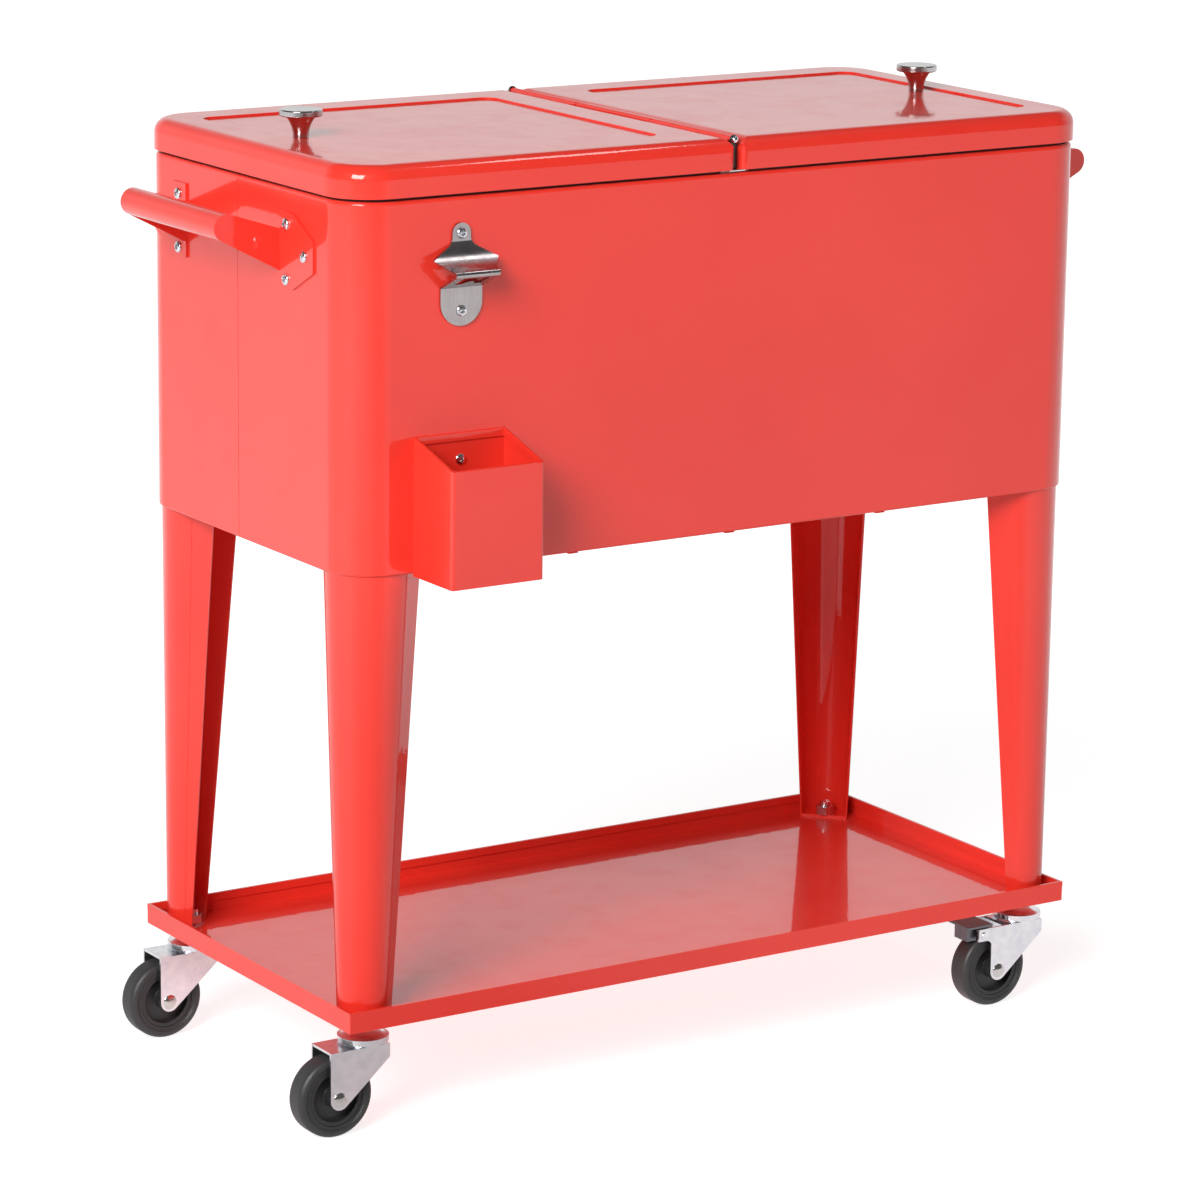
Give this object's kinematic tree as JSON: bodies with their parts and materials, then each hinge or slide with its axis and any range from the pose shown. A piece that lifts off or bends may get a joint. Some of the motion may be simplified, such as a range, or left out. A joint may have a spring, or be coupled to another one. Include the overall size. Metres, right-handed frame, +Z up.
{
  "type": "rolling patio cooler",
  "caption": "Insulated steel drinks cooler on a wheeled stand, with centre-hinged lids, lower tray, end handles, bottle opener and cap catcher.",
  "frame": {"origin": "on the floor, under the middle of the whole cooler", "axes": "+X along the tub towards its right end, +Y from the front (opener side) to the back, +Z up"},
  "size_m": [0.833, 0.406, 0.8038],
  "materials": {
    "red_paint": "gloss red enamel on sheet steel",
    "foam": "pale rigid foam",
    "white_plastic": "white moulded plastic",
    "black_steel": "black enamel",
    "zinc": "bright zinc plate",
    "polished_steel": "polished plate",
    "seal_rubber": "matte black rubber",
    "brushed_steel": "brushed stainless",
    "caster_plate": "bright zinc plate",
    "black_plastic": "black moulded plastic",
    "axle_steel": "nickel plate",
    "wheel_plastic": "black moulded plastic",
    "wheel_rubber": "black rubber",
    "pedal_steel": "dark coated steel"
  },
  "bodies": {
    "cooler": {"tub_wrap_front": "red_paint", "tub_wrap_back": "red_paint", "tub_bottom_pan": "red_paint", "bottom_clips": "red_paint", "tub_foam": "foam", "tub_liner": "white_plastic", "crossbar": "white_plastic", "hinge_brackets": "black_steel", "hinge_feet": "zinc", "bracket_screws": "zinc", "hinge_pin": "polished_steel", "left_handle": "red_paint", "right_handle": "red_paint", "handle_screws": "zinc", "bottle_opener": "brushed_steel", "opener_screws": "zinc", "cap_catcher": "red_paint", "catcher_screws": "zinc", "leg_front_left": "red_paint", "leg_front_right": "red_paint", "leg_back_left": "red_paint", "leg_back_right": "red_paint", "leg_bolts": "zinc", "leg_nuts": "zinc", "tray": "red_paint", "caster_stems": "caster_plate", "stem_nuts": "zinc", "drain_spout": "white_plastic", "drain_nut": "black_plastic"},
    "left_lid": {"left_lid_shell": "red_paint", "left_lid_liner": "white_plastic", "left_lid_foam": "foam", "left_lid_seal": "seal_rubber", "left_knob": "polished_steel", "left_knob_screw": "zinc"},
    "right_lid": {"right_lid_shell": "red_paint", "right_lid_liner": "white_plastic", "right_lid_foam": "foam", "right_lid_seal": "seal_rubber", "right_knob": "polished_steel", "right_knob_screw": "zinc"},
    "swivel_front_left": {"fork_front_left": "caster_plate", "axle_front_left": "axle_steel"},
    "roller_front_left": {"wheel_front_left": "wheel_plastic", "tyre_front_left": "wheel_rubber"},
    "swivel_front_right": {"fork_front_right": "caster_plate", "axle_front_right": "axle_steel"},
    "roller_front_right": {"wheel_front_right": "wheel_plastic", "tyre_front_right": "wheel_rubber"},
    "swivel_back_left": {"fork_back_left": "caster_plate", "axle_back_left": "axle_steel"},
    "roller_back_left": {"wheel_back_left": "wheel_plastic", "tyre_back_left": "wheel_rubber"},
    "swivel_back_right": {"fork_back_right": "caster_plate", "axle_back_right": "axle_steel"},
    "roller_back_right": {"wheel_back_right": "wheel_plastic", "tyre_back_right": "wheel_rubber"},
    "brake_front_right": {"pedal_front_right": "pedal_steel"},
    "brake_back_right": {"pedal_back_right": "pedal_steel"},
    "drain_cap": {"drain_cap": "black_plastic"}
  },
  "joints": [
    {"name": "left_lid_hinge", "type": "hinge", "parent": "cooler", "child": "left_lid", "pos_m": [0, 0.029, 0.78], "axis": [0, 1, 0], "range_deg": [0, 150]},
    {"name": "right_lid_hinge", "type": "hinge", "parent": "cooler", "child": "right_lid", "pos_m": [0, 0.029, 0.78], "axis": [0, 1, 0], "range_deg": [-150, 0]},
    {"name": "swivel_turn_front_left", "type": "hinge", "parent": "cooler", "child": "swivel_front_left", "pos_m": [-0.329, -0.1155, 0.0735], "axis": [0, 0, 1], "continuous": true},
    {"name": "wheel_spin_front_left", "type": "hinge", "parent": "swivel_front_left", "child": "roller_front_left", "pos_m": [-0.359, -0.1155, 0.0335], "axis": [0, 1, 0], "continuous": true},
    {"name": "swivel_turn_front_right", "type": "hinge", "parent": "cooler", "child": "swivel_front_right", "pos_m": [0.329, -0.1155, 0.0735], "axis": [0, 0, 1], "continuous": true},
    {"name": "wheel_spin_front_right", "type": "hinge", "parent": "swivel_front_right", "child": "roller_front_right", "pos_m": [0.299, -0.1155, 0.0335], "axis": [0, 1, 0], "continuous": true},
    {"name": "brake_press_front_right", "type": "hinge", "parent": "swivel_front_right", "child": "brake_front_right", "pos_m": [0.283, -0.1155, 0.067], "axis": [0, -1, 0], "range_deg": [0, 10]},
    {"name": "swivel_turn_back_left", "type": "hinge", "parent": "cooler", "child": "swivel_back_left", "pos_m": [-0.329, 0.1735, 0.0735], "axis": [0, 0, 1], "continuous": true},
    {"name": "wheel_spin_back_left", "type": "hinge", "parent": "swivel_back_left", "child": "roller_back_left", "pos_m": [-0.359, 0.1735, 0.0335], "axis": [0, 1, 0], "continuous": true},
    {"name": "swivel_turn_back_right", "type": "hinge", "parent": "cooler", "child": "swivel_back_right", "pos_m": [0.329, 0.1735, 0.0735], "axis": [0, 0, 1], "continuous": true},
    {"name": "wheel_spin_back_right", "type": "hinge", "parent": "swivel_back_right", "child": "roller_back_right", "pos_m": [0.299, 0.1735, 0.0335], "axis": [0, 1, 0], "continuous": true},
    {"name": "brake_press_back_right", "type": "hinge", "parent": "swivel_back_right", "child": "brake_back_right", "pos_m": [0.283, 0.1735, 0.067], "axis": [0, -1, 0], "range_deg": [0, 10]},
    {"name": "drain_cap_turn", "type": "hinge", "parent": "cooler", "child": "drain_cap", "pos_m": [0.366, 0.089, 0.5204], "axis": [1, 0, 0], "range_deg": [0, 360]}
  ]
}
